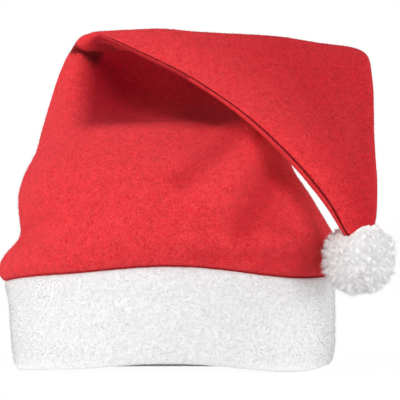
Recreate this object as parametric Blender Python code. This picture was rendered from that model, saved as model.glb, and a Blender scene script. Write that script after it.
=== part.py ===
"""A felt party hat: a tall cone crown whose top folds over and hangs at one side, a cuff band and a pompom.

Metres, +Z up, +X towards the hanging tail, -Y towards the front. The rim stands on Z = 0.
Every row of the section tables is one loop round the felt tube, from the seam edge (left) to the plain
edge (right). Its lengths are shares of the named sizes below.
"""

import math
from collections import namedtuple

import bmesh
import bpy
import numpy as np
from mathutils import Vector

# Band: the white cuff, an oval strip of doubled felt
BAND_LENGTH = 0.202
BAND_WIDTH = 0.168
BAND_HEIGHT = 0.0535
BAND_WALL = 0.003

# Crown: the red felt cone, from the band's top edge to the crease where it folds over
CROWN_HEIGHT = 0.1575
CROWN_WALL = 0.0015
SEAM_OVERLAP = 0.008
EDGE_ROLL = 0.0042
CREASE_RADIUS = 0.011
FOLD_DEPTH = 0.010

# Side seam: a rolled welt along the left edge with a groove beside it
WELT_WIDTH = 0.0046
WELT_RISE = 0.0006
GROOVE_WIDTH = 0.0012
GROOVE_DEPTH = 0.0005

# Tail: the part of the cone past the crease, lying flat and hanging down
TAIL_REACH = 0.121
TAIL_DROP = 0.127
TAIL_FORWARD = 0.35 * BAND_WIDTH
TAIL_THICKNESS = 0.013

# Pompom
POMPOM_DIAMETER = 0.0455
POMPOM_SETBACK = 0.011
POMPOM_SHIFT = 0.003
LOCK_LENGTH = 0.004
TIP_TUCK = 0.0095

# The hem isn't flat: it lifts off the table a little in two places
HEM_LIFT = 0.0045

# Clearance left between two sewn pieces
GAP = 0.0003

# Mesh stations round a loop, and the share of them on the plainer back panel
AROUND = 46
BACK_SHARE = 0.42
RANDOM_SEED = 3

CREASE_TOP = BAND_HEIGHT + CROWN_HEIGHT

# Band sections: height as a share of BAND_HEIGHT; left and right of half BAND_LENGTH; front and back of
# half BAND_WIDTH; skin is how far the outer face stands in from the oval, as a share of BAND_WALL.
BandSection = namedtuple("BandSection", "height left right front back skin")
BAND_SECTIONS = (
    BandSection(0.00, 0.940, 0.955, 1.00, 1.00, 0.30),
    BandSection(0.03, 0.948, 0.970, 1.00, 1.00, 0.00),
    BandSection(0.20, 0.967, 0.992, 1.00, 1.00, 0.00),
    BandSection(0.50, 0.980, 0.992, 1.00, 1.00, 0.00),
    BandSection(0.80, 0.990, 0.992, 1.00, 1.00, 0.00),
    BandSection(0.96, 1.020, 0.995, 1.00, 1.00, 0.00),
    BandSection(1.00, 1.030, 0.995, 1.00, 1.00, 0.50),
)

# Places where the hem lifts: bearing round the oval in degrees (0 = right, 270 = front), half width in
# degrees, and height as a share of HEM_LIFT.
HemLift = namedtuple("HemLift", "bearing spread height")
HEM_LIFTS = (
    HemLift(274, 42, 1.00),
    HemLift(240, 60, 0.40),
    HemLift(356, 40, 0.80),
)

# Crown sections below the crease: height is a share of CROWN_HEIGHT above the band; left and right are
# shares of half BAND_LENGTH from the hat's middle; middle, front and back are shares of half BAND_WIDTH,
# front and back measured from the middle; drop lowers the right end, as a share of CROWN_HEIGHT; steps is
# how many rows of the mesh lead up to this one.
CrownSection = namedtuple("CrownSection", "height left right middle front back drop steps")
CROWN_SECTIONS = (
    CrownSection(0.006, 1.030, 0.985, 0.00, 0.990, 0.990, 0.000, 1),
    CrownSection(0.020, 1.056, 1.012, 0.00, 1.020, 1.015, 0.000, 1),
    CrownSection(0.058, 1.062, 1.030, 0.00, 1.055, 1.045, 0.000, 1),
    CrownSection(0.112, 1.024, 1.030, 0.00, 1.080, 1.065, 0.000, 1),
    CrownSection(0.165, 0.935, 1.005, 0.00, 1.080, 1.060, 0.000, 1),
    CrownSection(0.251, 0.935, 0.930, 0.00, 1.055, 1.035, 0.000, 2),
    CrownSection(0.332, 0.952, 0.858, 0.01, 1.000, 0.985, 0.000, 1),
    CrownSection(0.436, 0.905, 0.750, 0.02, 0.890, 0.900, 0.000, 2),
    CrownSection(0.504, 0.850, 0.705, 0.03, 0.770, 0.810, 0.000, 1),
    CrownSection(0.587, 0.820, 0.735, 0.05, 0.600, 0.690, 0.000, 2),
    CrownSection(0.685, 0.785, 0.850, 0.08, 0.380, 0.540, 0.015, 2),
    CrownSection(0.797, 0.742, 1.000, 0.11, 0.240, 0.350, 0.035, 2),
    CrownSection(0.890, 0.690, 1.095, 0.12, 0.150, 0.190, 0.055, 2),
    CrownSection(0.930, 0.662, 1.135, 0.12, 0.100, 0.120, 0.060, 1),
)

# Crease sections, where the felt turns over from standing to hanging: angle in degrees from standing; left
# and right are shares of half BAND_LENGTH; falls are shares of CROWN_HEIGHT below the crease; behind is a
# share of CREASE_RADIUS from the bend's middle; over and under are the two sides' shares of TAIL_THICKNESS.
CreaseSection = namedtuple("CreaseSection", "angle left left_fall right right_fall behind over under")
CREASE_SECTIONS = (
    CreaseSection(45, -0.630, 0.040, 1.165, 0.090, 0.7, 0.55, 0.36),
    CreaseSection(90, -0.575, 0.026, 1.190, 0.081, 0.0, 0.62, 0.36),
    CreaseSection(135, -0.480, 0.028, 1.215, 0.089, -0.7, 0.60, 0.36),
)

# Tail sections below the crease: left and right are shares of TAIL_REACH from the hat's middle; falls are
# shares of TAIL_DROP below the crease; forwards are shares of TAIL_FORWARD in front of the crease; over and
# under are the two sides' shares of TAIL_THICKNESS.
TailSection = namedtuple(
    "TailSection",
    "left left_fall left_forward right right_fall right_forward over under steps",
)
TAIL_SECTIONS = (
    TailSection(-0.320, 0.066, 0.09, 1.032, 0.160, 0.02, 0.58, 0.38, 1),
    TailSection(-0.196, 0.133, 0.19, 1.034, 0.210, 0.06, 0.62, 0.40, 1),
    TailSection(0.030, 0.256, 0.37, 1.032, 0.320, 0.16, 0.68, 0.44, 2),
    TailSection(0.195, 0.374, 0.57, 1.018, 0.455, 0.33, 0.70, 0.45, 2),
    TailSection(0.335, 0.493, 0.79, 1.002, 0.570, 0.51, 0.68, 0.44, 2),
    TailSection(0.475, 0.628, 0.92, 0.992, 0.690, 0.70, 0.62, 0.42, 2),
    TailSection(0.618, 0.775, 0.96, 0.986, 0.810, 0.85, 0.56, 0.42, 2),
    TailSection(0.722, 0.905, 1.00, 0.976, 0.915, 0.94, 0.52, 0.42, 1),
    TailSection(0.778, 0.990, 1.00, 0.968, 0.985, 0.98, 0.48, 0.40, 1),
    TailSection(0.818, 1.060, 1.00, 0.946, 1.050, 1.00, 0.40, 0.34, 1),
)

# Folds and dents: where they lie on the front panel or on the tail's outer face, as shares of half
# BAND_LENGTH across and of CROWN_HEIGHT above the band; half lengths in the same shares; turn in degrees
# from level; rise as a share of FOLD_DEPTH, negative for a dent; firm is how sharp its border is.
Fold = namedtuple("Fold", "across height half_long half_short turn rise firm")
CROWN_FOLDS = (
    Fold(-0.61, 0.76, 0.260, 0.055, 84, 0.70, 2),
    Fold(-0.02, 0.79, 0.480, 0.165, 0, -1.75, 2),
    Fold(-0.15, 0.57, 0.380, 0.055, 5, 0.45, 2),
    Fold(0.52, 0.535, 0.190, 0.070, -28, 0.92, 2),
    Fold(0.66, 0.350, 0.220, 0.070, -60, 0.55, 2),
    Fold(0.34, 0.42, 0.360, 0.085, 48, 0.50, 2),
    Fold(0.50, 0.29, 0.300, 0.070, 54, -0.45, 2),
    Fold(0.17, 0.53, 0.150, 0.065, 20, -0.30, 2),
    Fold(-0.88, 0.17, 0.300, 0.045, 8, -0.45, 2),
    Fold(-0.45, 0.24, 0.240, 0.080, -30, -0.25, 2),
    Fold(-0.70, 0.36, 0.260, 0.090, 70, 0.25, 2),
)
TAIL_FOLDS = (
    Fold(0.12, 0.905, 0.650, 0.045, -36, 0.16, 2),
    Fold(1.10, 0.55, 0.360, 0.060, 88, -0.30, 2),
    Fold(1.00, 0.955, 0.230, 0.050, -4, -0.24, 2),
    Fold(0.62, 0.70, 0.300, 0.080, -20, -0.16, 2),
)


def smooth_rows(rows, steps):
    """Rows of numbers with more rows between them, on a Catmull-Rom curve through the given ones."""
    rows = np.array(rows, float)
    ends = np.vstack([2 * rows[0] - rows[1], rows, 2 * rows[-1] - rows[-2]])
    found = [rows[0]]
    for i in range(len(rows) - 1):
        before, start, end, after = ends[i : i + 4]
        for k in range(1, steps[i + 1] + 1):
            t = k / steps[i + 1]
            found.append(
                0.5
                * (
                    2 * start
                    + (end - before) * t
                    + (2 * before - 5 * start + 4 * end - after) * t**2
                    + (3 * start - before - 3 * end + after) * t**3
                )
            )
    return np.array(found)


def oval_loop(left, right, outward, front, back, roll):
    """A closed flattened oval from its left to its right end, as many points. Its back half stands out
    along outward and its front half against it, and its two ends are rolled to a radius."""
    across = right - left
    half = np.linalg.norm(across) / 2
    across /= 2 * half
    outward = outward - outward.dot(across) * across
    outward /= np.linalg.norm(outward)
    turn = np.linspace(math.pi, -math.pi, 721)[:-1]
    c, s = np.cos(turn), np.sin(turn)
    long = half - roll
    short = np.where(s >= 0, back, front) - roll
    steep = np.hypot(short * c, long * s)
    x = long * c + roll * short * c / steep
    y = short * s + roll * long * s / steep
    return (left + right) / 2 + np.outer(x, across) + np.outer(y, outward)


def stations(length):
    """Places round a loop, measured from the seam edge: close together at the welt, even elsewhere."""
    tight = min(1.0, length / (16 * WELT_WIDTH))
    near = [
        0,
        WELT_WIDTH * 0.55,
        WELT_WIDTH - GROOVE_WIDTH * 0.9,
        WELT_WIDTH,
        WELT_WIDTH + GROOVE_WIDTH,
        WELT_WIDTH + GROOVE_WIDTH * 2.6,
    ]
    near = [n * tight for n in near]
    last = length - WELT_WIDTH * 0.6 * tight
    behind = int((AROUND - len(near)) * BACK_SHARE)
    back = np.linspace(near[-1], length / 2, behind + 1)[1:]
    front = np.linspace(length / 2, last, AROUND - len(near) - behind + 1)[1:]
    return near + list(back) + list(front)


GROOVE_STATION = 3


def bisectors(points):
    """The direction of travel at each point of a closed loop, halfway between its two sides' own."""
    ahead = np.roll(points, -1, axis=-2) - points
    ahead /= np.linalg.norm(ahead, axis=-1)[..., None]
    middle = ahead + np.roll(ahead, 1, axis=-2)
    return middle / np.linalg.norm(middle, axis=-1)[..., None]


def spaced_loop(points):
    """The loop again, with its points at the stations."""
    closed = np.vstack([points, points[:1]])
    walked = np.concatenate([[0], np.cumsum(np.linalg.norm(np.diff(closed, axis=0), axis=1))])
    places = stations(walked[-1])
    return np.stack([np.interp(places, walked, closed[:, k]) for k in range(3)], axis=1)


def inset_loop(points, inset):
    """A level loop's points at the stations, moved square to the loop by inset."""
    points = spaced_loop(points)
    tangent = bisectors(points)
    return points - inset * np.stack([-tangent[:, 1], tangent[:, 0], tangent[:, 2] * 0], axis=1)


def hem_lift(points):
    """How far the hem lifts at each point, by its bearing round the oval."""
    bearing = np.degrees(np.arctan2(points[:, 1] / BAND_WIDTH, points[:, 0] / BAND_LENGTH))
    lift = np.zeros(len(points))
    for row in HEM_LIFTS:
        away = np.abs((bearing - row.bearing + 180) % 360 - 180)
        lift += row.height * HEM_LIFT * np.cos(np.minimum(away / row.spread, 1) * math.pi / 2) ** 2
    return lift


def band_loop(height, inset):
    """A loop of the band's oval at a share of its height, moved in by inset."""
    columns = np.array([[r.left, r.right, r.front, r.back] for r in BAND_SECTIONS])
    heights = [r.height for r in BAND_SECTIONS]
    left, right, front, back = (np.interp(height, heights, columns[:, k]) for k in range(4))
    z = BAND_HEIGHT * height
    points = inset_loop(
        oval_loop(
            np.array([-left * BAND_LENGTH / 2, 0, z]),
            np.array([right * BAND_LENGTH / 2, 0, z]),
            np.array([0.0, 1.0, 0.0]),
            front * BAND_WIDTH / 2,
            back * BAND_WIDTH / 2,
            EDGE_ROLL,
        ),
        inset,
    )
    points[:, 2] += hem_lift(points)
    return points


def crown_keys():
    """The crown's sections from the band to the tail's end, as rows: left, right, outward angle, front,
    back, roll. The outward angle is 0 where the tube stands up and 180 where it hangs down."""
    half_length, half_width = BAND_LENGTH / 2, BAND_WIDTH / 2
    keys, steps = [], []
    for row in CROWN_SECTIONS:
        z = BAND_HEIGHT + row.height * CROWN_HEIGHT
        y = row.middle * half_width
        low = z - row.drop * CROWN_HEIGHT
        keys.append(
            [-row.left * half_length, y, z, row.right * half_length, y, low]
            + [0, row.front * half_width, row.back * half_width, EDGE_ROLL]
        )
        steps.append(row.steps)
    crease_y = keys[-1][1] - CREASE_RADIUS
    for row in CREASE_SECTIONS:
        y = crease_y + row.behind * CREASE_RADIUS
        keys.append(
            [row.left * half_length, y, CREASE_TOP - row.left_fall * CROWN_HEIGHT]
            + [row.right * half_length, y, CREASE_TOP - row.right_fall * CROWN_HEIGHT]
            + [row.angle, row.under * TAIL_THICKNESS, row.over * TAIL_THICKNESS, EDGE_ROLL]
        )
        steps.append(2)
    for row in TAIL_SECTIONS:
        y = crease_y - CREASE_RADIUS
        over, under = row.over * TAIL_THICKNESS, row.under * TAIL_THICKNESS
        keys.append(
            [row.left * TAIL_REACH, y - row.left_forward * TAIL_FORWARD]
            + [CREASE_TOP - row.left_fall * TAIL_DROP, row.right * TAIL_REACH]
            + [y - row.right_forward * TAIL_FORWARD, CREASE_TOP - row.right_fall * TAIL_DROP]
            + [180, under, over, min(EDGE_ROLL, under * 0.85)]
        )
        steps.append(row.steps)
    return keys, steps


def fold_heights(points, folds):
    """How far the folds move points seen from the front, as a height along the surface's own normal."""
    x = points[..., 0] / (BAND_LENGTH / 2)
    z = (points[..., 2] - BAND_HEIGHT) / CROWN_HEIGHT
    squat = CROWN_HEIGHT / (BAND_LENGTH / 2)
    moved = np.zeros(points.shape[:-1])
    for row in folds:
        turn = math.radians(row.turn)
        dx, dz = x - row.across, (z - row.height) * squat
        along = abs(dx * math.cos(turn) + dz * math.sin(turn)) / row.half_long
        side = abs(dz * math.cos(turn) - dx * math.sin(turn)) / (row.half_short * squat)
        moved += row.rise * FOLD_DEPTH * np.exp(-(along ** max(row.firm, 4)) - side**row.firm)
    return moved


def normals_of(grid):
    """Outward unit normals of a grid of rows of loop points."""
    step = np.diff(grid, axis=0)
    step /= np.linalg.norm(step, axis=2)[..., None]
    along = np.concatenate([step[:1], step[1:] + step[:-1], step[-1:]])
    normal = np.cross(along, bisectors(grid))
    normal /= np.linalg.norm(normal, axis=2)[..., None]
    return normal


def tube_loop(row, wall):
    """A crown section's loop, drawn in by the thickness of a wall."""
    across = (row[3:6] - row[0:3]) / np.linalg.norm(row[3:6] - row[0:3])
    turn = math.radians(row[6])
    outward = np.array([0, math.cos(turn), math.sin(turn)])
    front, back, roll = row[7:10] - wall
    return spaced_loop(
        oval_loop(row[0:3] + across * wall * 1.3, row[3:6] - across * wall * 1.3, outward, front, back, roll)
    )


def crown_grids():
    """The crown's outer and inner faces as grids of rows, from the hem up, over and down to the tip."""
    keys, steps = crown_keys()
    rows = smooth_rows(keys, steps)
    grid = np.array([tube_loop(row, 0) for row in rows])
    fade = np.clip(1 - (rows[:, 2] - BAND_HEIGHT) / (0.3 * CROWN_HEIGHT), 0, 1) ** 2
    fade[rows[:, 6] > 1] = 0
    for k, share in enumerate(fade):
        grid[k, :, 2] += hem_lift(grid[k]) * share
    inset = BAND_WALL + GAP
    hem = [
        band_loop(1 - SEAM_OVERLAP / BAND_HEIGHT, inset),
        band_loop(1.0, inset) + np.array([0, 0, GAP]),
        band_loop(1.0, inset - BAND_WALL * 0.25) + np.array([0, 0, GAP * 2.5]),
    ]
    grid = np.concatenate([np.array(hem), grid])
    turns = np.concatenate([[0] * len(hem), rows[:, 6]])[:, None]
    normal = normals_of(grid)
    lean = np.radians(turns)
    outside = np.cos(lean) * normal[..., 1] + np.sin(lean) * normal[..., 2]
    standing = np.clip(-outside * 1.6, 0, 1) * (turns < 1)
    hanging = np.clip(outside * 1.6, 0, 1) * np.clip((turns - 20) / 60, 0, 1)
    moved = fold_heights(grid, CROWN_FOLDS) * standing + fold_heights(grid, TAIL_FOLDS) * hanging
    folds = normal * moved[..., None]
    grid += folds
    normal = normals_of(grid)
    inner = grid - normal * CROWN_WALL
    bent = np.clip(turns / 40, 0, 1)[..., None]
    flat = np.array([grid[k] * 0 for k in range(len(hem))] + [tube_loop(row, CROWN_WALL) for row in rows])
    inner = inner * (1 - bent) + (flat + folds) * bent
    outer = grid.copy()
    relief = np.zeros(AROUND)
    relief[[0, 1, 2, -1]] = WELT_RISE
    relief[GROOVE_STATION] = -GROOVE_DEPTH
    outer[len(hem) + 2 :] += normal[len(hem) + 2 :] * relief[:, None]
    return outer, inner


def fill_strips(mesh, lower, upper):
    """Faces between two loops of the same number of vertices."""
    count = len(lower)
    for i in range(count):
        j = (i + 1) % count
        mesh.faces.new((lower[i], lower[j], upper[j], upper[i]))


def closed_end(mesh, loop, point):
    """A fan that closes a loop at a point."""
    tip = mesh.verts.new(point)
    for i, vertex in enumerate(loop):
        mesh.faces.new((vertex, loop[(i + 1) % len(loop)], tip))


def add_object(name, mesh, material, hard_edge=50):
    """An object of a bmesh, facing out, smooth but for edges sharper than hard_edge degrees."""
    bmesh.ops.recalc_face_normals(mesh, faces=mesh.faces)
    data = bpy.data.meshes.new(name)
    mesh.to_mesh(data)
    mesh.free()
    data.materials.append(material)
    data.shade_smooth()
    data.set_sharp_from_angle(angle=math.radians(hard_edge))
    made = bpy.data.objects.new(name, data)
    bpy.context.scene.collection.objects.link(made)
    return made


def make_material(name, colour, roughness):
    made = bpy.data.materials.new(name)
    made.use_nodes = True
    shader = made.node_tree.nodes["Principled BSDF"]
    shader.inputs["Base Color"].default_value = (*colour, 1)
    shader.inputs["Roughness"].default_value = roughness
    shader.inputs["Metallic"].default_value = 0
    return made


def make_crown(outer, inner, material):
    """The red cone: its two faces joined at the hem, and closed at the tip."""
    mesh = bmesh.new()
    outside = [[mesh.verts.new(p) for p in row] for row in outer]
    inside = [[mesh.verts.new(p) for p in row] for row in inner[:-1]]
    for rows in (outside, inside):
        for lower, upper in zip(rows, rows[1:]):
            fill_strips(mesh, lower, upper)
    fill_strips(mesh, outside[0], inside[0])
    end = outer[-1].mean(axis=0)
    along = end - outer[-2].mean(axis=0)
    closed_end(mesh, outside[-1], end + along * 0.35)
    closed_end(mesh, inside[-1], inner[-2].mean(axis=0) + along * 0.3)
    return add_object("crown", mesh, material)


def make_band(material):
    """The cuff: one turned-up strip, its cross-section swept round the oval."""
    rows = [band_loop(r.height, r.skin * BAND_WALL) for r in BAND_SECTIONS]
    rows += [band_loop(h, BAND_WALL) for h in (1.0, 1 - SEAM_OVERLAP / BAND_HEIGHT, 0.5, 0.03)]
    rows.append(band_loop(0.0, BAND_WALL * 0.7))
    mesh = bmesh.new()
    loops = [[mesh.verts.new(p) for p in row] for row in rows]
    for lower, upper in zip(loops, loops[1:] + loops[:1]):
        fill_strips(mesh, lower, upper)
    return add_object("band", mesh, material)


def make_tip_cutter(outer):
    """The tail's end, larger by the clearance all round: the shape of its seat in the pompom."""
    normal = normals_of(outer)
    rows = (outer + normal * GAP * 1.5)[-6:]
    mesh = bmesh.new()
    loops = [[mesh.verts.new(p) for p in row] for row in rows]
    for lower, upper in zip(loops, loops[1:]):
        fill_strips(mesh, lower, upper)
    end = outer[-1].mean(axis=0)
    along = end - outer[-2].mean(axis=0)
    loops.append([mesh.verts.new(p + along / np.linalg.norm(along) * GAP) for p in rows[-1]])
    fill_strips(mesh, loops[-2], loops[-1])
    closed_end(mesh, loops[-1], end + along * 0.35 + along / np.linalg.norm(along) * GAP * 2)
    closed_end(mesh, loops[0], rows[0].mean(axis=0))
    cutter = add_object("tip_cutter", mesh, bpy.data.materials[0])
    cutter.hide_render = True
    cutter.display_type = "WIRE"
    return cutter


def make_pompom(outer, material):
    """A round head with a soft lock of fleece on each face clear of the tail, and a seat for the tail's tip."""
    rng = np.random.default_rng(RANDOM_SEED)
    head = POMPOM_DIAMETER / 2 - LOCK_LENGTH
    end = outer[-1].mean(axis=0)
    along = end - outer[-4].mean(axis=0)
    along /= np.linalg.norm(along)
    centre = Vector(end + along * (POMPOM_DIAMETER / 2 - TIP_TUCK))
    centre += Vector((-POMPOM_SHIFT, POMPOM_SETBACK, 0))
    mesh = bmesh.new()
    bmesh.ops.create_icosphere(mesh, subdivisions=3, radius=head)
    tail = outer[-6:].reshape(-1, 3) - np.array(centre)
    clear = [
        face
        for face in mesh.faces
        if np.linalg.norm(tail - np.array(face.calc_center_median()), axis=1).min() > LOCK_LENGTH * 1.2
    ]
    locks = bmesh.ops.extrude_discrete_faces(mesh, faces=clear)["faces"]
    for lock in locks:
        middle = lock.calc_center_median()
        lean = Vector(rng.uniform(-0.2, 0.2, 3)) * LOCK_LENGTH
        rise = middle.normalized() * LOCK_LENGTH * rng.uniform(0.5, 1.15) + lean
        for vertex in lock.verts:
            vertex.co = middle + (vertex.co - middle) * 0.45 + rise
    pompom = add_object("pompom", mesh, material, 180)
    pompom.location = centre
    seat = pompom.modifiers.new("tip_seat", "BOOLEAN")
    seat.operation = "DIFFERENCE"
    seat.object = make_tip_cutter(outer)
    return pompom


def stand_on_origin(pieces):
    """Hangs every object on one empty, and moves it so that the hat's box stands centred on the origin."""
    hat = bpy.data.objects.new("hat", None)
    for piece in bpy.data.objects:
        if piece != hat:
            piece.parent = hat
    bpy.context.scene.collection.objects.link(hat)
    bpy.context.view_layer.update()
    corners = np.array([p.matrix_world @ v.co for p in pieces for v in p.data.vertices])
    low, high = corners.min(axis=0), corners.max(axis=0)
    hat.location = (-(low[0] + high[0]) / 2, -(low[1] + high[1]) / 2, -low[2])


def main():
    for old in list(bpy.data.objects):
        bpy.data.objects.remove(old)
    red_felt = make_material("red_felt", (0.66, 0.02, 0.025), 0.9)
    white_felt = make_material("white_felt", (0.86, 0.86, 0.85), 0.9)
    white_fleece = make_material("white_fleece", (0.88, 0.86, 0.86), 0.95)
    outer, inner = crown_grids()
    pieces = [make_crown(outer, inner, red_felt), make_band(white_felt)]
    pieces.append(make_pompom(outer, white_fleece))
    stand_on_origin(pieces)


main()
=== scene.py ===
import bpy
import math
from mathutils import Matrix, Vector


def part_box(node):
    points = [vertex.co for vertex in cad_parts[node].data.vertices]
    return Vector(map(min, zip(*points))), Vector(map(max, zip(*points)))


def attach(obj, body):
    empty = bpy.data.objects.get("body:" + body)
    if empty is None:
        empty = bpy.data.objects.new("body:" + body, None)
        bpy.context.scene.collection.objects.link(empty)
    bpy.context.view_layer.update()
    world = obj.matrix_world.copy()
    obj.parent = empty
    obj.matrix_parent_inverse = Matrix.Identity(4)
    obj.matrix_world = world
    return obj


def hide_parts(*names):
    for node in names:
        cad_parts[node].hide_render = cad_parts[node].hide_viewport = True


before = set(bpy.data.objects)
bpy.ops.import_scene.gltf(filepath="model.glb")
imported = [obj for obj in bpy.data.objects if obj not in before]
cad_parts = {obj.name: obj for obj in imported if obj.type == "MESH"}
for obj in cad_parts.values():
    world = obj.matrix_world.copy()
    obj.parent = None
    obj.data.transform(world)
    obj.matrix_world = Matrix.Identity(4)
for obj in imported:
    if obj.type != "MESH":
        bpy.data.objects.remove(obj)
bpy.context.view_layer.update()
print("frame loaded:", sorted(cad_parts))

# the middle of the band's oval on the floor, in metres
hatMiddle = Vector((-0.0105, 0.0007, 0.0))

# Small helpers that every piece uses.


def selectOnly(ob):
    bpy.ops.object.select_all(action="DESELECT")
    ob.select_set(True)
    bpy.context.view_layer.objects.active = ob


def editMode(on):
    bpy.ops.object.mode_set(mode="EDIT" if on else "OBJECT")


def clamped(value):
    return max(0.0, min(1.0, value))


def grown(value, pair):
    # 0 up to the pair's first number, then grows to 1 over its second
    start, over = pair
    return clamped((value - start) / over)


joining = {
    "mergeWithin": 0.00002,  # metres
    "flatWithin": 60,  # degrees between two triangles that pair up
    "squareWithin": 70,
}


def copyNode(nodeName, pieceName):
    # merged copy of a CAD node with its triangles paired back into quads
    ob = bpy.data.objects.new(pieceName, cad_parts[nodeName].data.copy())
    bpy.context.scene.collection.objects.link(ob)
    ob.data.materials.clear()
    selectOnly(ob)
    bpy.ops.mesh.customdata_custom_splitnormals_clear()
    editMode(True)
    bpy.ops.mesh.select_all(action="SELECT")
    bpy.ops.mesh.remove_doubles(threshold=joining["mergeWithin"])
    bpy.ops.mesh.tris_convert_to_quads(
        face_threshold=math.radians(joining["flatWithin"]),
        shape_threshold=math.radians(joining["squareWithin"]),
    )
    editMode(False)
    return ob


def applyAll(ob):
    selectOnly(ob)
    for modifier in list(ob.modifiers):
        bpy.ops.object.modifier_apply(modifier=modifier.name)


def smoothSubdivide(ob, levels):
    modifier = ob.modifiers.new("soften", "SUBSURF")
    modifier.levels = levels
    modifier.render_levels = levels


def cloudRelief(ob, name, size, strength, group=""):
    # low uneven relief from a procedural cloud, in metres, half of it outwards and half inwards
    cloud = bpy.data.textures.new(name, "CLOUDS")
    cloud.noise_scale = size
    cloud.noise_depth = 2
    modifier = ob.modifiers.new(name, "DISPLACE")
    modifier.texture = cloud
    modifier.texture_coords = "LOCAL"
    modifier.strength = strength
    modifier.mid_level = 0.5
    modifier.vertex_group = group


def triangleCount(ob):
    return sum(len(face.vertices) - 2 for face in ob.data.polygons)


def finishPiece(ob, material):
    ob.data.materials.clear()
    ob.data.materials.append(material)
    for face in ob.data.polygons:
        face.use_smooth = True
    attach(ob, "root")
    print("piece", ob.name, triangleCount(ob), "triangles")


# Felt and fleece.


def newGroup(name, inputs, outputs):
    group = bpy.data.node_groups.new(name, "ShaderNodeTree")
    for label, kind, value in inputs:
        socket = group.interface.new_socket(label, in_out="INPUT", socket_type=kind)
        if value is not None:
            socket.default_value = value
    for label, kind in outputs:
        group.interface.new_socket(label, in_out="OUTPUT", socket_type=kind)
    return group, group.nodes.new("NodeGroupInput"), group.nodes.new("NodeGroupOutput")


def mathNode(nodes, links, operation, a, b=None, clamp=False):
    node = nodes.new("ShaderNodeMath")
    node.operation = operation
    node.use_clamp = clamp
    for socket, value in zip(node.inputs, (a, b)):
        if value is None:
            continue
        if hasattr(value, "is_output"):
            links.new(value, socket)
        else:
            socket.default_value = value
    return node.outputs[0]


def noiseNode(nodes, links, vector, scale, detail, roughness, distortion=0.0):
    node = nodes.new("ShaderNodeTexNoise")
    links.new(vector, node.inputs["Vector"])
    values = {"Scale": scale, "Detail": detail, "Roughness": roughness, "Distortion": distortion}
    for label, value in values.items():
        if hasattr(value, "is_output"):
            links.new(value, node.inputs[label])
        else:
            node.inputs[label].default_value = value
    return node.outputs["Fac"]


feltPattern = {
    "tangle": {"detail": 3.0, "roughness": 0.6, "distortion": 1.2},
    "mottle": {"detail": 4.0, "roughness": 0.55, "distortion": 0.3},
    "flecks": {"detail": 5.0, "roughness": 0.75},
    "fibreSharpness": 7.0,
    "fibreRelief": 0.45,
    "mottleRelief": 0.8,
    "fleckRelief": 0.6,
    "deepBetween": (0.62, 0.34),  # mottle values where the deep colour starts and where it is full
    "fleckBetween": (0.40, 0.66),
}


def makeFeltNap():
    # pressed felt: tangled fibres over a soft mottle, all in the object's own metres
    group, gin, gout = newGroup(
        "feltNap",
        [
            ("Place", "NodeSocketVector", None),
            ("Fibre Scale", "NodeSocketFloat", 700.0),
            ("Mottle Scale", "NodeSocketFloat", 160.0),
            ("Fleck Scale", "NodeSocketFloat", 1500.0),
        ],
        [
            ("Fibres", "NodeSocketFloat"),
            ("Mottle", "NodeSocketFloat"),
            ("Flecks", "NodeSocketFloat"),
            ("Relief", "NodeSocketFloat"),
        ],
    )
    nodes, links = group.nodes, group.links
    place = gin.outputs["Place"]

    def calculate(operation, a, b=None, clamp=False):
        return mathNode(nodes, links, operation, a, b, clamp)

    tangle = noiseNode(nodes, links, place, gin.outputs["Fibre Scale"], **feltPattern["tangle"])
    folded = calculate("ABSOLUTE", calculate("SUBTRACT", tangle, 0.5))
    sharp = calculate("MULTIPLY", folded, feltPattern["fibreSharpness"])
    fibres = calculate("SUBTRACT", 1.0, sharp, clamp=True)
    mottle = noiseNode(nodes, links, place, gin.outputs["Mottle Scale"], **feltPattern["mottle"])
    flecks = noiseNode(nodes, links, place, gin.outputs["Fleck Scale"], **feltPattern["flecks"])
    relief = calculate(
        "ADD",
        calculate("MULTIPLY", fibres, feltPattern["fibreRelief"]),
        calculate(
            "ADD",
            calculate("MULTIPLY", flecks, feltPattern["fleckRelief"]),
            calculate("MULTIPLY", mottle, feltPattern["mottleRelief"]),
        ),
    )
    links.new(fibres, gout.inputs["Fibres"])
    links.new(mottle, gout.inputs["Mottle"])
    links.new(flecks, gout.inputs["Flecks"])
    links.new(relief, gout.inputs["Relief"])
    return group


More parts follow.
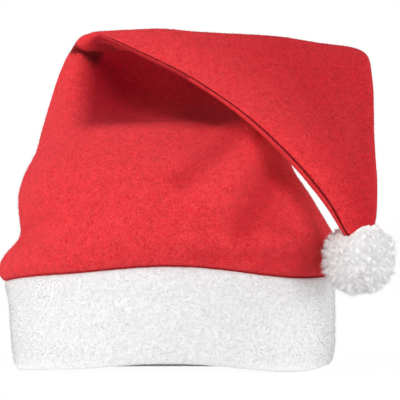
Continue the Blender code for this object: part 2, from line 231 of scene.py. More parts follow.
def makeTintStack():
    # lays three masks over a body colour: worn light fibres, deep mottle and fine flecks
    group, gin, gout = newGroup(
        "tintStack",
        [
            ("Body", "NodeSocketColor", (1, 1, 1, 1)),
            ("Light", "NodeSocketColor", (1, 1, 1, 1)),
            ("Deep", "NodeSocketColor", (0, 0, 0, 1)),
            ("Fibres", "NodeSocketFloat", 0.0),
            ("Mottle", "NodeSocketFloat", 0.5),
            ("Flecks", "NodeSocketFloat", 0.5),
            ("Fibre Share", "NodeSocketFloat", 0.3),
            ("Mottle Share", "NodeSocketFloat", 0.3),
            ("Fleck Share", "NodeSocketFloat", 0.3),
        ],
        [("Colour", "NodeSocketColor")],
    )
    nodes, links = group.nodes, group.links

    def blend(fac, a, b):
        node = nodes.new("ShaderNodeMix")
        node.data_type = "RGBA"
        links.new(fac, node.inputs[0])
        links.new(a, node.inputs[6])
        links.new(b, node.inputs[7])
        return node.outputs[2]

    def spread(value, low, high):
        node = nodes.new("ShaderNodeMapRange")
        node.interpolation_type = "SMOOTHSTEP"
        links.new(value, node.inputs["Value"])
        node.inputs["From Min"].default_value = low
        node.inputs["From Max"].default_value = high
        return node.outputs[0]

    def times(a, b):
        return mathNode(nodes, links, "MULTIPLY", a, b)

    deep = times(spread(gin.outputs["Mottle"], *feltPattern["deepBetween"]), gin.outputs["Mottle Share"])
    light = times(gin.outputs["Fibres"], gin.outputs["Fibre Share"])
    fleck = times(spread(gin.outputs["Flecks"], *feltPattern["fleckBetween"]), gin.outputs["Fleck Share"])
    colour = blend(deep, gin.outputs["Body"], gin.outputs["Deep"])
    colour = blend(light, colour, gin.outputs["Light"])
    colour = blend(fleck, colour, gin.outputs["Light"])
    links.new(colour, gout.inputs["Colour"])
    return group


feltNap = makeFeltNap()
tintStack = makeTintStack()


def shadeBy(nodes, links, colour, attributeName, shade):
    # paints shade or light into a colour where the piece's own attribute says so
    where = nodes.new("ShaderNodeAttribute")
    where.attribute_name = attributeName
    tone = nodes.new("ShaderNodeMix")
    tone.data_type = "RGBA"
    tone.blend_type = "MULTIPLY"
    links.new(where.outputs["Fac"], tone.inputs[0])
    links.new(colour, tone.inputs[6])
    tone.inputs[7].default_value = (*shade, 1)
    return tone.outputs[2]


def makeFabric(name, look):
    material = bpy.data.materials.new(name)
    material.use_nodes = True
    nodes, links = material.node_tree.nodes, material.node_tree.links
    shader = nodes["Principled BSDF"]
    place = nodes.new("ShaderNodeTexCoord")
    nap = nodes.new("ShaderNodeGroup")
    nap.node_tree = feltNap
    links.new(place.outputs["Object"], nap.inputs["Place"])
    nap.inputs["Fibre Scale"].default_value = look["fibreScale"]
    nap.inputs["Mottle Scale"].default_value = look["mottleScale"]
    nap.inputs["Fleck Scale"].default_value = look["fleckScale"]
    tint = nodes.new("ShaderNodeGroup")
    tint.node_tree = tintStack
    tint.inputs["Body"].default_value = (*look["body"], 1)
    tint.inputs["Light"].default_value = (*look["light"], 1)
    tint.inputs["Deep"].default_value = (*look["deep"], 1)
    tint.inputs["Fibre Share"].default_value = look["fibreShare"]
    tint.inputs["Mottle Share"].default_value = look["mottleShare"]
    tint.inputs["Fleck Share"].default_value = look["fleckShare"]
    for label in ("Fibres", "Mottle", "Flecks"):
        links.new(nap.outputs[label], tint.inputs[label])
    colour = tint.outputs["Colour"]
    for attributeName, shade in look["shades"].items():
        colour = shadeBy(nodes, links, colour, attributeName, shade)
    links.new(colour, shader.inputs["Base Color"])
    bump = nodes.new("ShaderNodeBump")
    bump.inputs["Strength"].default_value = look["bumpStrength"]
    bump.inputs["Distance"].default_value = look["bumpDepth"]
    links.new(nap.outputs["Relief"], bump.inputs["Height"])
    links.new(bump.outputs["Normal"], shader.inputs["Normal"])
    shader.inputs["Roughness"].default_value = look["roughness"]
    shader.inputs["Specular IOR Level"].default_value = look["specular"]
    shader.inputs["Sheen Weight"].default_value = look["sheen"]
    shader.inputs["Sheen Roughness"].default_value = look["sheenRoughness"]
    shader.inputs["Sheen Tint"].default_value = (*look["sheenTint"], 1)
    shader.inputs["Subsurface Weight"].default_value = look["subsurface"]
    shader.inputs["Subsurface Radius"].default_value = look["subsurfaceRadius"]
    shader.inputs["Subsurface Scale"].default_value = look["subsurfaceScale"]
    return material


redFelt = {
    "body": (0.76, 0.012, 0.022),
    "light": (0.92, 0.085, 0.092),
    "deep": (0.56, 0.004, 0.012),
    "fibreScale": 520.0,
    "mottleScale": 230.0,
    "fleckScale": 900.0,
    "fibreShare": 0.42,
    "mottleShare": 0.80,
    "fleckShare": 0.50,
    "bumpStrength": 0.7,
    "bumpDepth": 0.0010,
    "roughness": 0.92,
    "specular": 0.10,
    "sheen": 0.20,
    "sheenRoughness": 0.55,
    "sheenTint": (1.0, 0.22, 0.24),
    "subsurface": 0.0,
    "subsurfaceRadius": (1.0, 0.2, 0.2),
    "subsurfaceScale": 0.001,
    # painted shade and painted light by the crown's attributes: shade along the seam's groove, on the right
    # and in valleys, and under the fold; light beside the tail's edge and on ridges
    "shades": {
        "paintedShade": (0.73, 0.40, 0.50),
        "paintedLight": (1.24, 1.35, 1.35),
        "pocketShade": (0.51, 0.08, 0.30),
        "seamShade": (0.28, 0.12, 0.16),
    },
}
whiteFelt = {
    **redFelt,
    "body": (0.90, 0.90, 0.905),
    "light": (0.97, 0.97, 0.97),
    "deep": (0.78, 0.78, 0.79),
    "fibreScale": 420.0,
    "mottleScale": 330.0,
    "fibreShare": 0.35,
    "mottleShare": 0.60,
    "bumpStrength": 0.6,
    "bumpDepth": 0.0012,
    "sheen": 0.35,
    "sheenTint": (1.0, 1.0, 1.0),
    "subsurface": 0.20,
    "subsurfaceRadius": (1.0, 0.97, 0.94),
    "subsurfaceScale": 0.003,
    "shades": {},
}
whiteFleece = {
    **whiteFelt,
    "body": (0.985, 0.972, 0.975),
    "light": (0.995, 0.99, 0.99),
    "deep": (0.96, 0.945, 0.95),
    "fibreScale": 300.0,
    "mottleScale": 220.0,
    "bumpStrength": 0.3,
    "bumpDepth": 0.0006,
    "sheen": 1.0,
    "subsurface": 0.6,
    "subsurfaceScale": 0.008,
}
redMaterial = makeFabric("redFelt", redFelt)
whiteMaterial = makeFabric("whiteFelt", whiteFelt)
fleeceMaterial = makeFabric("whiteFleece", whiteFleece)
print("materials made")

# Fibres stood on a surface.


def markOutside(ob, groupName, startFace, hardEdge):
    # the wall seen from outside: everything joined to one outer face without crossing a hard edge
    selectOnly(ob)
    editMode(True)
    bpy.ops.mesh.select_mode(type="FACE")
    bpy.ops.mesh.select_all(action="DESELECT")
    editMode(False)
    ob.data.polygons[startFace].select = True
    editMode(True)
    bpy.ops.mesh.faces_select_linked_flat(sharpness=math.radians(hardEdge))
    group = ob.vertex_groups.new(name=groupName)
    ob.vertex_groups.active_index = group.index
    bpy.ops.object.vertex_group_assign()
    editMode(False)
    share = sum(face.select for face in ob.data.polygons) / len(ob.data.polygons)
    print("outside wall of", ob.name, "is", round(share, 2), "of its faces")


def makeSpike(name, spec):
    # one fibre: a three-sided taper, extruded and leaned over step by step, then closed at the tip
    bpy.ops.object.select_all(action="DESELECT")
    bpy.ops.mesh.primitive_circle_add(vertices=3, radius=spec["thickness"] / 2, fill_type="NGON")
    ob = bpy.context.object
    ob.name = name
    editMode(True)
    bpy.ops.mesh.select_all(action="SELECT")
    step = spec["length"] / spec["steps"]
    lean = 0.0
    for index in range(spec["steps"]):
        lean += spec["curl"] / spec["steps"]
        bpy.ops.mesh.extrude_region_move(
            TRANSFORM_OT_translate={"value": (step * math.sin(lean), 0, step * math.cos(lean))}
        )
        bpy.ops.transform.resize(value=(spec["taper"],) * 3)
    bpy.ops.mesh.merge(type="CENTER")
    bpy.ops.mesh.select_all(action="SELECT")
    bpy.ops.mesh.normals_make_consistent(inside=False)
    editMode(False)
    return ob


scatterLook = {
    "leastShare": 0.02,  # of a fibre's length, where it has no room at all
    "clumpDetail": 1.0,
}


def makeScatter(name):
    # geometry nodes: copies of one fibre stood on a surface, leaning with their neighbours
    group = bpy.data.node_groups.new(name, "GeometryNodeTree")
    face = group.interface
    face.new_socket("Geometry", in_out="INPUT", socket_type="NodeSocketGeometry")
    for label, kind in (
        ("Fibre", "NodeSocketObject"),
        ("Neighbour", "NodeSocketObject"),
        ("Density", "NodeSocketFloat"),
        ("Mask Name", "NodeSocketString"),
        ("Lean", "NodeSocketFloat"),
        ("Clump Scale", "NodeSocketFloat"),
        ("Clump Lean", "NodeSocketFloat"),
        ("Shortest", "NodeSocketFloat"),
        ("Longest", "NodeSocketFloat"),
        ("Room", "NodeSocketFloat"),
        ("Seed", "NodeSocketInt"),
    ):
        face.new_socket(label, in_out="INPUT", socket_type=kind)
    face.new_socket("Geometry", in_out="OUTPUT", socket_type="NodeSocketGeometry")
    nodes, links = group.nodes, group.links
    gin, gout = nodes.new("NodeGroupInput"), nodes.new("NodeGroupOutput")

    def link(source, node, socket):
        links.new(source, node.inputs[socket])

    mask = nodes.new("GeometryNodeInputNamedAttribute")
    mask.data_type = "FLOAT"
    link(gin.outputs["Mask Name"], mask, "Name")
    points = nodes.new("GeometryNodeDistributePointsOnFaces")
    points.distribute_method = "RANDOM"
    link(gin.outputs["Geometry"], points, "Mesh")
    density = nodes.new("ShaderNodeMath")
    density.operation = "MULTIPLY"
    link(gin.outputs["Density"], density, 0)
    link(mask.outputs["Attribute"], density, 1)
    link(density.outputs[0], points, "Density")
    link(gin.outputs["Seed"], points, "Seed")

    fibre = nodes.new("GeometryNodeObjectInfo")
    link(gin.outputs["Fibre"], fibre, "Object")
    neighbour = nodes.new("GeometryNodeObjectInfo")
    link(gin.outputs["Neighbour"], neighbour, "Object")
    near = nodes.new("GeometryNodeProximity")
    near.target_element = "FACES"
    link(neighbour.outputs["Geometry"], near, "Geometry" if "Geometry" in near.inputs else "Target")
    room = nodes.new("ShaderNodeMapRange")
    link(near.outputs["Distance"], room, "Value")
    room.inputs["From Min"].default_value = 0.0
    link(gin.outputs["Room"], room, "From Max")
    room.inputs["To Min"].default_value = scatterLook["leastShare"]
    room.inputs["To Max"].default_value = 1.0

    spin = nodes.new("FunctionNodeRandomValue")
    spin.data_type = "FLOAT_VECTOR"
    spin.inputs[0].default_value = (-1, -1, -math.pi)
    spin.inputs[1].default_value = (1, 1, math.pi)
    link(gin.outputs["Seed"], spin, "Seed")
    leanBy = nodes.new("ShaderNodeVectorMath")
    leanBy.operation = "MULTIPLY"
    leanAxes = nodes.new("ShaderNodeCombineXYZ")
    link(gin.outputs["Lean"], leanAxes, 0)
    link(gin.outputs["Lean"], leanAxes, 1)
    leanAxes.inputs[2].default_value = 1.0
    link(spin.outputs[0], leanBy, 0)
    link(leanAxes.outputs[0], leanBy, 1)
    clump = nodes.new("ShaderNodeTexNoise")
    where = nodes.new("GeometryNodeInputPosition")
    link(where.outputs[0], clump, "Vector")
    link(gin.outputs["Clump Scale"], clump, "Scale")
    clump.inputs["Detail"].default_value = scatterLook["clumpDetail"]
    centred = nodes.new("ShaderNodeVectorMath")
    centred.operation = "SUBTRACT"
    link(clump.outputs["Color"], centred, 0)
    centred.inputs[1].default_value = (0.5, 0.5, 0.5)
    clumpBy = nodes.new("ShaderNodeVectorMath")
    clumpBy.operation = "SCALE"
    link(centred.outputs[0], clumpBy, 0)
    link(gin.outputs["Clump Lean"], clumpBy, "Scale")

    straight = nodes.new("FunctionNodeAlignRotationToVector")
    straight.axis = "Z"
    tilted = nodes.new("ShaderNodeVectorMath")
    tilted.operation = "ADD"
    link(points.outputs["Normal"], tilted, 0)
    link(clumpBy.outputs[0], tilted, 1)
    link(tilted.outputs[0], straight, "Vector")
    turn = nodes.new("FunctionNodeRotateRotation")
    turn.rotation_space = "LOCAL"
    angles = nodes.new("FunctionNodeEulerToRotation")
    link(leanBy.outputs[0], angles, 0)
    link(straight.outputs[0], turn, 0)
    link(angles.outputs[0], turn, 1)

    size = nodes.new("FunctionNodeRandomValue")
    size.data_type = "FLOAT"
    link(gin.outputs["Shortest"], size, 2)
    link(gin.outputs["Longest"], size, 3)
    link(gin.outputs["Seed"], size, "Seed")
    sized = nodes.new("ShaderNodeMath")
    sized.operation = "MULTIPLY"
    link(size.outputs[1], sized, 0)
    link(room.outputs[0], sized, 1)

    stand = nodes.new("GeometryNodeInstanceOnPoints")
    link(points.outputs["Points"], stand, "Points")
    link(fibre.outputs["Geometry"], stand, "Instance")
    link(turn.outputs[0], stand, "Rotation")
    link(sized.outputs[0], stand, "Scale")
    real = nodes.new("GeometryNodeRealizeInstances")
    link(stand.outputs[0], real, 0)
    link(real.outputs[0], gout, 0)
    return group


scatterFibres = makeScatter("scatterFibres")


def scatterOn(host, pieceName, fibre, neighbour, spec):
    ob = bpy.data.objects.new(pieceName, host.data.copy())
    bpy.context.scene.collection.objects.link(ob)
    for group in host.vertex_groups:
        ob.vertex_groups.new(name=group.name)
    modifier = ob.modifiers.new("scatter", "NODES")
    modifier.node_group = scatterFibres
    values = {
        "Fibre": fibre,
        "Neighbour": neighbour,
        "Density": spec["perSquareMetre"],
        "Mask Name": spec["mask"],
        "Lean": spec["lean"],
        "Clump Scale": spec["clumpScale"],
        "Clump Lean": spec["clumpLean"],
        "Shortest": spec["shortest"],
        "Longest": spec["longest"],
        "Room": spec["room"],
        "Seed": spec["seed"],
    }
    for item in scatterFibres.interface.items_tree:
        if item.in_out == "INPUT" and item.name in values:
            modifier[item.identifier] = values[item.name]
    applyAll(ob)
    return ob


# The red crown, with its crease, tail and side seam.

crownLook = {
    "levels": 2,
    "hardEdge": 62,  # degrees
    "reliefSize": 0.016,
    "reliefHeight": 0.0005,
    "reliefFrom": 0.060,  # the relief starts above the band and off the pompom, so that it touches neither
    "reliefOffPompom": 0.026,
    "reliefFade": 0.02,
    # the side seam's groove: how it is found, where it is looked for, how deep it is cut, and how far and how
    # dark its painted shade gets
    "seamTurnsBy": 22,  # degrees
    "seamRises": 0.3,  # the waist above the band is a hollow too, but level
    "seamStrip": 0.012,
    "seamBodyBefore": -0.060,
    "seamBodyFrom": 0.064,
    "seamBodyBehind": 0.001,
    "seamDepth": 0.0003,
    "seamCrease": 0.7,
    "seamShadeSpread": 1.7,
    # the felt that has turned over, by height: where the tail's left edge is, and how far back the tail
    # reaches there and at its right end
    "tailEdge": (
        # height, edge, depth at the edge, depth at the right end
        (0.210, -0.055, 0.004, 0.006),
        (0.202, -0.050, 0.003, 0.005),
        (0.194, -0.035, -0.003, 0.004),
        (0.178, -0.008, -0.012, -0.006),
        (0.163, 0.012, -0.028, -0.013),
        (0.148, 0.029, -0.047, -0.022),
        (0.131, 0.046, -0.056, -0.034),
        (0.113, 0.064, -0.057, -0.044),
        (0.074, 0.088, -0.058, -0.056),
    ),
    "tailRight": 0.108,
    "tailBorder": (0.004, 0.002),  # over how much its border fades, across and in depth
    # soft folds on the body's front: both ends (across, up), half width, and height in metres
    "bodyFolds": (
        (0.041, 0.132, 0.008, 0.096, 0.013, 0.0026),
        (0.026, 0.138, -0.004, 0.106, 0.011, -0.0020),
        (0.052, 0.122, 0.030, 0.080, 0.014, -0.0026),
        (0.066, 0.112, 0.076, 0.076, 0.009, 0.0018),
        (0.000, 0.073, 0.058, 0.073, 0.0075, 0.0016),
        (0.004, 0.0645, 0.056, 0.0635, 0.0065, -0.0012),
        (-0.080, 0.078, -0.040, 0.083, 0.010, 0.0012),
    ),
    "tallestFold": 0.0026,
    # from here on a pair says where something starts and over how much it grows, if no note says otherwise
    "foldFront": (0.012, 0.020),  # towards the front
    # painted shade: deeper red towards the right of the tail and of the body, and in the fold valleys
    "shadeOnTail": (0.12, 0.52),  # shares of the tail's width
    "shadeOnBody": (0.022, 0.045),
    "shadeOnBodyMost": 0.6,
    "shadeInValleys": 0.8,
    # painted light: lighter red on the fold ridges and beside the tail's edge
    "ridgeHighlight": 0.45,
    "paintedLightLine": (0.046, 0.132, 0.080, 0.074, 0.020),  # the line along which painted light eases the tail's shadow on the body
    # painted shade in the pocket under the fold: where it starts and how it fades
    "pocketShadeLeft": (-0.073, 0.016),
    "pocketShadeLow": (0.1385, 0.012),
    "pocketShadeEase": (-0.045, 0.030),  # the right half is in shadow anyway
    "pocketShadeEased": 0.3,
    "pocketShadeFacing": 0.6,  # fades out where the felt faces the back
    "pocketShadeTurning": 1.5,
    "pocketShadeBorder": 0.002,
    # height at the shade's left end, and slope
    "creaseLine": (0.2020, 0.42),
    "edgeLine": (0.2170, -0.566),
    "edgeUpTo": 0.0,
}


def tailLimits(height):
    # the tail's left edge at a height, and how far back it reaches there and at its right end
    rows = sorted(crownLook["tailEdge"])
    height = max(rows[0][0], min(rows[-1][0], height))
    for low, high in zip(rows, rows[1:]):
        if low[0] <= height <= high[0]:
            part = (height - low[0]) / (high[0] - low[0])
            return [a + part * (b - a) for a, b in zip(low[1:], high[1:])]


def tailShare(place):
    # 1 on the felt past the crease and 0 on the body, with a soft border between
    edge, near, far = tailLimits(place.z)
    depth = near + clamped((place.x - edge) / (crownLook["tailRight"] - edge)) * (far - near)
    across, back = crownLook["tailBorder"]
    return clamped(min((place.x - edge) / across + 1.0, (depth - place.y) / back + 0.5))


def nearLine(place, line):
    # 1 on a line seen from the front, fading to 0 at its half width and past its ends
    fromX, fromZ, toX, toZ, width = line
    alongX, alongZ = toX - fromX, toZ - fromZ
    part = clamped(
        ((place.x - fromX) * alongX + (place.z - fromZ) * alongZ) / (alongX * alongX + alongZ * alongZ)
    )
    away = math.hypot(place.x - fromX - part * alongX, place.z - fromZ - part * alongZ) / width
    return max(0.0, 1.0 - away * away) ** 2


def foldBody(ob):
    # moves both faces of the wall alike, so the felt keeps its thickness
    for vertex in ob.data.vertices:
        place = vertex.co.copy()
        front = (1.0 - tailShare(place)) * grown(-place.y, crownLook["foldFront"])
        if front > 0.0:
            folds = crownLook["bodyFolds"]
            vertex.co.y -= front * sum(height * nearLine(place, line) for *line, height in folds)


def foldShare(place, sign):
    # how far up a ridge (sign 1) or down a valley (sign -1) of the body's folds
    shares = [
        nearLine(place, line) * min(1.0, sign * height / crownLook["tallestFold"])
        for *line, height in crownLook["bodyFolds"]
    ]
    return max(0.0, *shares) * (place.y < 0.0)


# painted light: lighter red where the tail's shadow falls on the body beside its edge, and painted highlight
# on the fold ridges
def paintedLightShare(place):
    shares = (nearLine(place, crownLook["paintedLightLine"]), crownLook["ridgeHighlight"] * foldShare(place, 1))
    return max(shares) * (1.0 - tailShare(place))


def paintedShadeShare(place):
    # painted shade: the red made deeper over most of the turned felt towards its right, and partly so on the
    # body's right and in the fold valleys
    edge = tailLimits(place.z)[0]
    onTail = grown((place.x - edge) / (crownLook["tailRight"] - edge), crownLook["shadeOnTail"])
    onBody = crownLook["shadeOnBodyMost"] * grown(place.x, crownLook["shadeOnBody"]) * (1.0 - paintedLightShare(place))
    onBody = max(onBody, crownLook["shadeInValleys"] * foldShare(place, -1))
    return onBody + tailShare(place) * (onTail - onBody)


def pocketShadeShare(place, normal):
    # painted shade: 1 on the front felt under the fold, where the tail's overhang shades it, with soft
    # borders at its left and below, and none on the crease
    inwards = place.x - crownLook["pocketShadeLeft"][0]

    def below(line):
        height, slope = crownLook[line]
        return (height + slope * inwards - place.z) / crownLook["pocketShadeBorder"]

    offTail = 1.0 - tailShare(place)
    if place.x < crownLook["edgeUpTo"]:
        offTail = max(offTail, min(1.0, below("edgeLine")))
    facing = crownLook["pocketShadeFacing"] - crownLook["pocketShadeTurning"] * normal.y
    share = 1.0 - crownLook["pocketShadeEased"] * grown(place.x, crownLook["pocketShadeEase"])
    for value in (
        grown(place.z, crownLook["pocketShadeLow"]),
        grown(place.x, crownLook["pocketShadeLeft"]),
        clamped(below("creaseLine")),
        clamped(facing),
        clamped(offTail),
    ):
        share *= value * value * (3.0 - 2.0 * value)
    return share


def besideSeam(place):
    # true in the strip along the seam: the tail's left edge, and the body's left end just behind its middle
    if tailShare(place) > 0.5:
        return place.x - tailLimits(place.z)[0] < crownLook["seamStrip"]
    onBody = place.x < crownLook["seamBodyBefore"] and place.z > crownLook["seamBodyFrom"]
    return onBody and crownLook["seamBodyBehind"] < place.y < crownLook["seamStrip"]


def grooveOf(ob, wall):
    # the corners along the seam's groove, where two faces of the outer wall meet in a hollow
    points = ob.data.vertices
    facesOf = {}
    for face in ob.data.polygons:
        for key in face.edge_keys:
            facesOf.setdefault(key, []).append(face)
    found = set()
    for key, faces in facesOf.items():
        if len(faces) != 2 or not wall.issuperset(key):
            continue
        one, other = faces
        hollow = (other.center - one.center).dot(one.normal) > 0
        along = points[key[0]].co - points[key[1]].co
        rising = abs(along.z) > crownLook["seamRises"] * along.length
        if hollow and rising and one.normal.angle(other.normal) > math.radians(crownLook["seamTurnsBy"]):
            found.update(index for index in key if besideSeam(points[index].co))
    return found


def selectPoints(ob, indices):
    selectOnly(ob)
    editMode(True)
    bpy.ops.mesh.select_mode(type="VERT")
    bpy.ops.mesh.select_all(action="DESELECT")
    editMode(False)
    for index in indices:
        ob.data.vertices[index].select = True
    editMode(True)


def paint(ob, attributeName, values):
    attribute = ob.data.attributes.new(attributeName, "FLOAT", "POINT")
    attribute.data.foreach_set("value", values)


def weightsOf(ob, groupName):
    index = ob.vertex_groups[groupName].index
    return [
        next((entry.weight for entry in vertex.groups if entry.group == index), 0.0)
        for vertex in ob.data.vertices
    ]


def middleOf(nodeName):
    low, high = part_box(nodeName)
    return (Vector(low) + Vector(high)) / 2


def markCrownRelief(ob):
    fade = crownLook["reliefFade"]
    loose = ob.vertex_groups.new(name="loose")
    pomMiddle = middleOf("pompom")
    for vertex in ob.data.vertices:
        rise = (vertex.co.z - crownLook["reliefFrom"]) / fade
        away = ((vertex.co - pomMiddle).length - crownLook["reliefOffPompom"]) / fade
        loose.add([vertex.index], clamped(min(rise, away)), "REPLACE")


def makeCrown():
    ob = copyNode("crown", "crownFelt")
    outermost = min(ob.data.polygons, key=lambda face: face.center.x).index
    markOutside(ob, "outside", outermost, crownLook["hardEdge"])
    wall = {index for index, weight in enumerate(weightsOf(ob, "outside")) if weight > 0.5}
    groove = grooveOf(ob, wall)
    print("seam groove corners", len(groove))
    ob.vertex_groups.new(name="groove").add(sorted(groove), 1.0, "REPLACE")
    selectPoints(ob, groove)
    bpy.ops.transform.shrink_fatten(value=-crownLook["seamDepth"])
    bpy.ops.transform.edge_crease(value=crownLook["seamCrease"])
    editMode(False)
    smoothSubdivide(ob, crownLook["levels"])
    applyAll(ob)
    foldBody(ob)
    markCrownRelief(ob)
    cloudRelief(ob, "crownRelief", crownLook["reliefSize"], crownLook["reliefHeight"], "loose")
    applyAll(ob)
    points = ob.data.vertices
    # painted shade along the seam's groove, which is also cut into the felt
    paint(ob, "seamShade", [min(1.0, crownLook["seamShadeSpread"] * weight) for weight in weightsOf(ob, "groove")])
    # painted shade on the right of the tail and body, and in the fold valleys
    paint(ob, "paintedShade", [paintedShadeShare(vertex.co) for vertex in points])
    # painted light beside the tail's edge and on the fold ridges
    paint(ob, "paintedLight", [paintedLightShare(vertex.co) for vertex in points])
    # painted shade in the pocket under the fold
    paint(ob, "pocketShade", [pocketShadeShare(vertex.co, vertex.normal) for vertex in points])
    return ob


crownFelt = makeCrown()
finishPiece(crownFelt, redMaterial)
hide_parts("crown")

# The white band.

bandLook = {
    "levels": 2,
    "hardEdge": 48,
    "napSize": 0.0042,
    "napHeight": 0.0005,
    "napFrom": (0.003, 0.003),  # the rim's land stays plain, because the hat stands on it
}


def makeBand():
    ob = copyNode("band", "bandFelt")
    outermost = min(ob.data.polygons, key=lambda face: face.center.x).index
    markOutside(ob, "outside", outermost, bandLook["hardEdge"])
    smoothSubdivide(ob, bandLook["levels"])
    applyAll(ob)
    outside = ob.vertex_groups["outside"]
    for vertex, weight in zip(ob.data.vertices, weightsOf(ob, "outside")):
        outside.add([vertex.index], weight * grown(vertex.co.z, bandLook["napFrom"]), "REPLACE")
    cloudRelief(ob, "bandNap", bandLook["napSize"], bandLook["napHeight"], "outside")
    applyAll(ob)
    return ob


bandFelt = makeBand()
finishPiece(bandFelt, whiteMaterial)
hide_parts("band")

# Nap fibres on both felts.

# lengths in metres. The longest and shortest are shares of the length, and room is how far from its neighbour
# a fibre has its full length
redNap = {
    "thickness": 0.00016,
    "length": 0.0013,
    "steps": 1,
    "taper": 0.25,
    "curl": 0.4,
    "perSquareMetre": 400000.0,
    "mask": "outside",
    "lean": 1.1,
    "clumpScale": 180.0,
    "clumpLean": 1.2,
    "shortest": 0.5,
    "longest": 1.15,
    "room": 0.0022,
    "seed": 7,
}
whiteNap = {
    **redNap,
    "thickness": 0.00020,
    "length": 0.0017,
    "perSquareMetre": 1300000.0,
    "clumpScale": 260.0,
    "seed": 11,
}


def makeNap(host, pieceName, neighbour, spec, material):
    fibre = makeSpike(pieceName + "Fibre", spec)
    ob = scatterOn(host, pieceName, fibre, neighbour, spec)
    bpy.data.objects.remove(fibre)
    finishPiece(ob, material)
    return ob


crownNap = makeNap(crownFelt, "crownNap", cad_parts["pompom"], redNap, redMaterial)
bandNap = makeNap(bandFelt, "bandNap", crownFelt, whiteNap, whiteMaterial)

# The pompom: a core of soft lobes under a short pile.

pomLook = {
    "levels": 2,
    "easing": 8,  # rounds of smoothing that make soft lobes of the locks
    "lumpSize": 0.012,
    "lumpHeight": 0.0026,
    # a lock over the tail's end, from the pompom's middle. A pair says where it starts and over how much
    # it grows
    "tuftRight": 0.003,
    "tuftHalfWidth": 0.010,
    "tuftFront": (0.0024, 0.006),
    "tuftUp": (0.0, 0.012),
    "tuftMove": (0.0, -0.0015, 0.006),
}
fleecePile = {
    "thickness": 0.00018,
    "length": 0.0026,
    "steps": 1,
    "taper": 0.35,
    "curl": 0.8,
    "perSquareMetre": 3600000.0,
    "mask": "pile",
    "lean": 0.7,
    "clumpScale": 190.0,
    "clumpLean": 0.8,
    "shortest": 0.45,
    "longest": 1.10,
    "room": 0.0040,
    "seed": 5,
}


def makePompom():
    ob = copyNode("pompom", "pompomCore")
    pile = ob.vertex_groups.new(name="pile")
    pile.add([vertex.index for vertex in ob.data.vertices], 1.0, "REPLACE")
    smoothSubdivide(ob, pomLook["levels"])
    applyAll(ob)
    easing = ob.modifiers.new("easing", "SMOOTH")
    easing.iterations = pomLook["easing"]
    middle = middleOf("pompom")
    for vertex in ob.data.vertices:
        place = vertex.co - middle
        near = max(0.0, 1.0 - ((place.x - pomLook["tuftRight"]) / pomLook["tuftHalfWidth"]) ** 2)
        share = near * grown(-place.y, pomLook["tuftFront"]) * grown(place.z, pomLook["tuftUp"])
        vertex.co += Vector(pomLook["tuftMove"]) * share
    cloudRelief(ob, "fleeceLumps", pomLook["lumpSize"], pomLook["lumpHeight"])
    applyAll(ob)
    return ob


pompomCore = makePompom()
finishPiece(pompomCore, fleeceMaterial)
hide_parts("pompom")
makeNap(pompomCore, "pompomPile", crownFelt, fleecePile, fleeceMaterial)

# Floor, light and camera.

studio = {
    "worldStrength": 0.46,
    "lamps": {  # watts, metres across, and place
        "key": (6.7, 0.6, (0.000, -0.770, 1.085)),
        "left": (7.9, 0.6, (-1.170, -0.426, 0.209)),
        "right": (3.6, 0.6, (1.020, -0.714, 0.209)),
        "side": (3.6, 0.6, (1.245, 0.109, 0.300)),
    },
    "aim": (0.0, 0.0, 0.1),
    "floorAcross": 1.3,
    "floorColour": (0.93, 0.93, 0.93),
    "floorRoughness": 0.9,
    "floorSpecular": 0.1,
    "floorGlow": 0.15,
    "floorSeenWhite": 0.97,  # how far the floor is lifted towards the backdrop's white where it is looked at
}


def makeFloor():
    bpy.ops.object.select_all(action="DESELECT")
    bpy.ops.mesh.primitive_plane_add(size=studio["floorAcross"], location=(0, 0, 0))
    floor = bpy.context.object
    floor.name = "floor"
    material = bpy.data.materials.new("paleFloor")
    material.use_nodes = True
    shader = material.node_tree.nodes["Principled BSDF"]
    shader.inputs["Base Color"].default_value = (*studio["floorColour"], 1)
    shader.inputs["Roughness"].default_value = studio["floorRoughness"]
    shader.inputs["Specular IOR Level"].default_value = studio["floorSpecular"]
    shader.inputs["Emission Color"].default_value = (1, 1, 1, 1)
    shader.inputs["Emission Strength"].default_value = studio["floorGlow"]
    nodes, links = material.node_tree.nodes, material.node_tree.links
    white = nodes.new("ShaderNodeEmission")
    path = nodes.new("ShaderNodeLightPath")
    mix = nodes.new("ShaderNodeMixShader")
    lift = mathNode(nodes, links, "MULTIPLY", path.outputs["Is Camera Ray"], studio["floorSeenWhite"])
    links.new(lift, mix.inputs[0])
    links.new(shader.outputs[0], mix.inputs[1])
    links.new(white.outputs[0], mix.inputs[2])
    links.new(mix.outputs[0], nodes["Material Output"].inputs["Surface"])
    floor.data.materials.append(material)


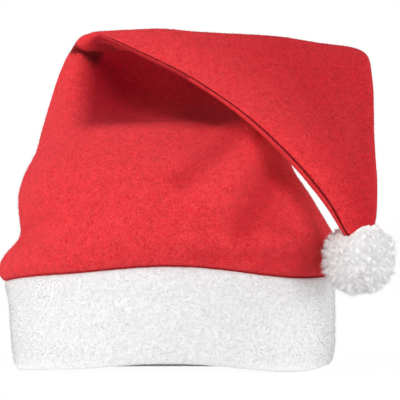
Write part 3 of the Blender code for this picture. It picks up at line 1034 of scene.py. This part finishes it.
def makeWorld():
    # white behind the hat, and a weaker white as its light
    world = bpy.data.worlds.new("studio")
    bpy.context.scene.world = world
    world.use_nodes = True
    nodes, links = world.node_tree.nodes, world.node_tree.links
    soft = nodes["Background"]
    soft.inputs["Color"].default_value = (1, 1, 1, 1)
    soft.inputs["Strength"].default_value = studio["worldStrength"]
    seen = nodes.new("ShaderNodeBackground")
    seen.inputs["Color"].default_value = (1, 1, 1, 1)
    seen.inputs["Strength"].default_value = 1.0
    path = nodes.new("ShaderNodeLightPath")
    mix = nodes.new("ShaderNodeMixShader")
    links.new(path.outputs["Is Camera Ray"], mix.inputs[0])
    links.new(soft.outputs[0], mix.inputs[1])
    links.new(seen.outputs[0], mix.inputs[2])
    links.new(mix.outputs[0], nodes["World Output"].inputs["Surface"])


def makeLamp(name, place, energy, size):
    bpy.ops.object.light_add(type="AREA", location=place)
    lamp = bpy.context.object
    lamp.name = name
    lamp.data.energy = energy
    lamp.data.size = size
    aim = Vector(studio["aim"]) - Vector(place)
    lamp.rotation_euler = aim.to_track_quat("-Z", "Y").to_euler()


cameraLook = {
    "back": 0.750,
    "side": 0.0166,
    "height": 0.020,
    "aimHeight": 0.105,
    "widthSeen": 0.250,  # metres across the photograph at the hat's middle
    "sensor": 36.0,  # millimetres
    "clipStart": 0.01,
}


def makeCamera():
    aim = hatMiddle + Vector((cameraLook["side"], 0, cameraLook["aimHeight"]))
    place = hatMiddle + Vector((cameraLook["side"], -cameraLook["back"], cameraLook["height"]))
    bpy.ops.object.camera_add(location=place)
    camera = bpy.context.object
    camera.name = "camera"
    camera.rotation_euler = (aim - place).to_track_quat("-Z", "Y").to_euler()
    camera.data.sensor_width = cameraLook["sensor"]
    camera.data.lens = cameraLook["sensor"] * (aim - place).length / cameraLook["widthSeen"]
    camera.data.clip_start = cameraLook["clipStart"]
    bpy.context.scene.camera = camera


makeFloor()
makeWorld()
for lampName, (energy, size, place) in studio["lamps"].items():
    makeLamp(lampName, place, energy, size)
makeCamera()
bpy.context.scene.view_settings.view_transform = "Standard"
print("studio ready")

bpy.context.view_layer.update()
